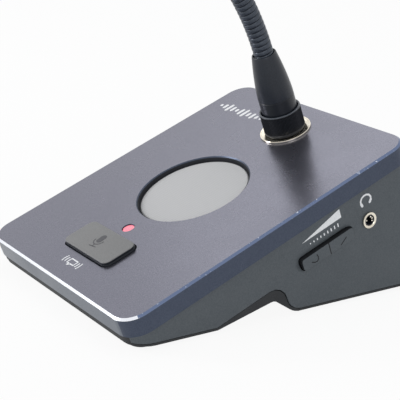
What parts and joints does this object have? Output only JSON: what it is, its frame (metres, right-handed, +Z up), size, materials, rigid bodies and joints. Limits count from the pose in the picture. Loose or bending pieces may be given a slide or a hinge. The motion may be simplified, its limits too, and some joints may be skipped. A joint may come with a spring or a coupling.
{
  "type": "gooseneck desk microphone console",
  "caption": "Wedge-shaped desk console with a talk button, a monitor loudspeaker and a side volume key, carrying a gooseneck microphone with a foam windscreen.",
  "frame": {"origin": "on the desk surface, under the middle of the model's bounding box, which is in the front half of the base", "axes": "+Z up; +X to the user's right, the side with the volume key and the headphone jack; -Y towards the user, the low front of the deck"},
  "size_m": [0.1066, 0.244, 0.2671],
  "materials": {
    "deck_paint": "satin anodised, blue-grey, bright cut edge",
    "shell_plastic": "fine-textured moulding",
    "cover_plastic": "fine-textured moulding",
    "black_plastic": "satin moulding",
    "black_rubber": "matt",
    "key_grey": "soft-touch paint",
    "cloth_grey": "fine speaker cloth",
    "led_pink": "diffused lens",
    "nickel": "polished nickel plate",
    "steel": "zinc plated",
    "neck_metal": "black-blue satin coat",
    "ferrite": "sintered",
    "paper": "paper pulp",
    "board": "solder mask",
    "foam": "open-cell foam"
  },
  "bodies": {
    "base": {"top_plate": "deck_paint", "grille_gasket": "black_rubber", "grille_disc": "cloth_grey", "speaker_frame": "steel", "speaker_cone": "paper", "speaker_magnet": "ferrite", "talk_switch": "black_plastic", "control_board": "board", "status_led": "led_pink", "socket_flange": "nickel", "socket_nut": "nickel", "volume_key_pin": "steel", "side_board": "board", "volume_down_switch": "black_plastic", "volume_up_switch": "black_plastic", "headphone_jack": "black_plastic", "jack_nut": "nickel", "power_inlet": "black_plastic", "link_socket": "black_plastic", "housing": "shell_plastic", "bottom_cover": "cover_plastic", "foot_1": "black_rubber", "foot_2": "black_rubber", "foot_3": "black_rubber", "foot_4": "black_rubber", "cover_screw_1": "steel", "cover_screw_2": "steel", "cover_screw_3": "steel", "cover_screw_4": "steel", "main_board": "board"},
    "talk_button": {"talk_button_carrier": "black_plastic", "talk_button_cap": "key_grey", "talk_switch_plunger": "key_grey"},
    "volume_key": {"volume_key": "black_rubber"},
    "lock_washer": {"lock_washer": "black_plastic"},
    "lock_ring": {"lock_ring": "black_plastic"},
    "neck_base": {"neck_boot": "black_rubber", "neck_ferrule": "nickel"},
    "neck_1": {"neck_section_1": "neck_metal"},
    "neck_2": {"neck_section_2": "neck_metal"},
    "neck_3": {"neck_section_3": "neck_metal"},
    "neck_4": {"neck_section_4": "neck_metal"},
    "neck_5": {"neck_section_5": "neck_metal"},
    "neck_6": {"neck_section_6": "neck_metal"},
    "neck_7": {"neck_section_7": "neck_metal"},
    "neck_8": {"neck_section_8": "neck_metal", "head_collar": "black_plastic", "capsule_housing": "neck_metal", "mic_capsule": "steel", "head_grille": "steel", "windscreen": "foam"}
  },
  "joints": [
    {"name": "talk_press", "type": "slide", "parent": "base", "child": "talk_button", "axis": [0, 0.3746, -0.9272], "range_m": [0, 0.001], "stiffness_N_per_m": 800, "springref_m": -0.0005},
    {"name": "volume_rock", "type": "hinge", "parent": "base", "child": "volume_key", "pos_m": [0.0489, 0.06206, 0.02403], "axis": [0, -0.3746, 0.9272], "range_deg": [-3.5, 3.5], "stiffness_Nm_per_rad": 0.05},
    {"name": "lock_ring_lift", "type": "slide", "parent": "base", "child": "lock_washer", "axis": [0, -0.3746, 0.9272], "range_m": [0, 0.002]},
    {"name": "lock_ring_turn", "type": "hinge", "parent": "lock_washer", "child": "lock_ring", "pos_m": [0, 0.08102, 0.05477], "axis": [0, -0.3746, 0.9272], "range_deg": [0, 724]},
    {"name": "neck_turn", "type": "hinge", "parent": "base", "child": "neck_base", "pos_m": [0, 0.08102, 0.05477], "axis": [0, -0.3746, 0.9272], "range_deg": [-90, 90]},
    {"name": "neck_lower_nod_1", "type": "hinge", "parent": "neck_base", "child": "neck_1", "pos_m": [0, 0.06772, 0.08768], "axis": [1, 0, 0], "range_deg": [-20, 12]},
    {"name": "neck_lower_sway_2", "type": "hinge", "parent": "neck_1", "child": "neck_2", "pos_m": [0, 0.05582, 0.1096], "axis": [0, 0.8379, 0.5458], "range_deg": [-18, 18]},
    {"name": "neck_lower_nod_3", "type": "hinge", "parent": "neck_2", "child": "neck_3", "pos_m": [0, 0.04055, 0.1294], "axis": [1, 0, 0], "range_deg": [-20, 12]},
    {"name": "neck_lower_sway_4", "type": "hinge", "parent": "neck_3", "child": "neck_4", "pos_m": [0, 0.02425, 0.14835], "axis": [0, 0.7409, 0.6717], "range_deg": [-18, 18]},
    {"name": "neck_upper_nod_5", "type": "hinge", "parent": "neck_4", "child": "neck_5", "pos_m": [0, 0.00698, 0.16642], "axis": [1, 0, 0], "range_deg": [-20, 20]},
    {"name": "neck_upper_sway_6", "type": "hinge", "parent": "neck_5", "child": "neck_6", "pos_m": [0, -0.0112, 0.18358], "axis": [0, 0.667, 0.745], "range_deg": [-18, 18]},
    {"name": "neck_upper_nod_7", "type": "hinge", "parent": "neck_6", "child": "neck_7", "pos_m": [0, -0.03025, 0.19976], "axis": [1, 0, 0], "range_deg": [-20, 20]},
    {"name": "neck_upper_sway_8", "type": "hinge", "parent": "neck_7", "child": "neck_8", "pos_m": [0, -0.05012, 0.21493], "axis": [0, 0.5859, 0.8104], "range_deg": [-18, 18]}
  ],
  "couplings": [
    {"joint": "lock_ring_turn", "follows": "lock_ring_lift", "rad_per_m": 6283.2},
    {"joint": "neck_lower_nod_3", "follows": "neck_lower_nod_1", "ratio": 1},
    {"joint": "neck_lower_sway_4", "follows": "neck_lower_sway_2", "ratio": 1},
    {"joint": "neck_upper_nod_7", "follows": "neck_upper_nod_5", "ratio": 1},
    {"joint": "neck_upper_sway_8", "follows": "neck_upper_sway_6", "ratio": 1}
  ]
}
